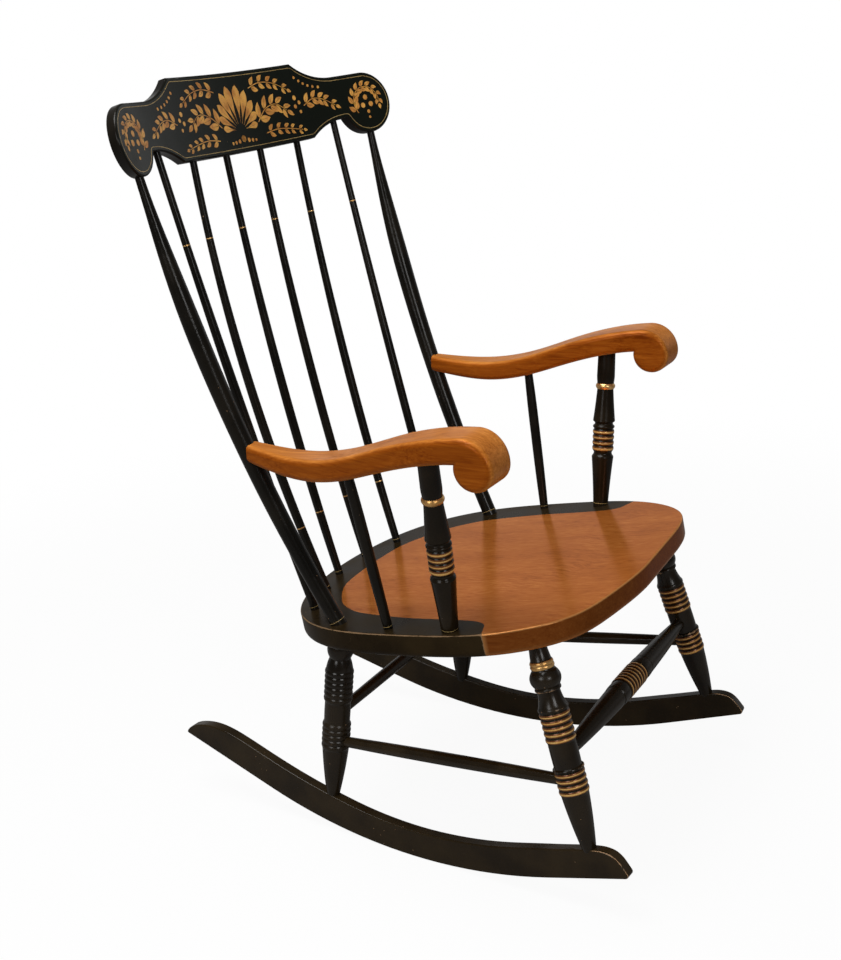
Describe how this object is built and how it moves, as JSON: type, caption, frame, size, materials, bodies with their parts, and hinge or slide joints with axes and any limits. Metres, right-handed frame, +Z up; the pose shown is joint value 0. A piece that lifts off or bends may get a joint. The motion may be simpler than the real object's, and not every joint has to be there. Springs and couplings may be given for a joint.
{
  "type": "rocking chair",
  "caption": "Wooden arm rocking chair with a bent spindle back, a shaped crest rail, turned legs and stretchers, and two curved runners.",
  "frame": {"origin": "on the floor, under the middle of the chair's box", "axes": "+Z up, the sitter faces -Y, +X to the sitter's left"},
  "size_m": [0.6684, 0.7626, 1.0908],
  "materials": {
    "clear_finished_wood": "satin clear coat over honey-brown wood",
    "black_painted_wood": "semi-gloss black paint with gold-painted rings, rubbed at the edges",
    "screw_steel": "plain"
  },
  "bodies": {
    "root": {"seat": "clear_finished_wood", "arm_left": "clear_finished_wood", "arm_right": "clear_finished_wood", "front_stretcher": "black_painted_wood", "rear_stretcher": "black_painted_wood", "crest_rail": "black_painted_wood", "runner_left": "black_painted_wood", "runner_right": "black_painted_wood", "front_leg_left": "black_painted_wood", "front_leg_right": "black_painted_wood", "rear_leg_left": "black_painted_wood", "rear_leg_right": "black_painted_wood", "side_stretcher_left": "black_painted_wood", "side_stretcher_right": "black_painted_wood", "back_post_left": "black_painted_wood", "back_post_right": "black_painted_wood", "arm_post_left": "black_painted_wood", "arm_post_right": "black_painted_wood", "arm_spindle_left": "black_painted_wood", "arm_spindle_right": "black_painted_wood", "spindle_1": "black_painted_wood", "spindle_2": "black_painted_wood", "spindle_3": "black_painted_wood", "spindle_4": "black_painted_wood", "spindle_5": "black_painted_wood", "spindle_6": "black_painted_wood", "arm_screws": "screw_steel"}
  },
  "joints": []
}
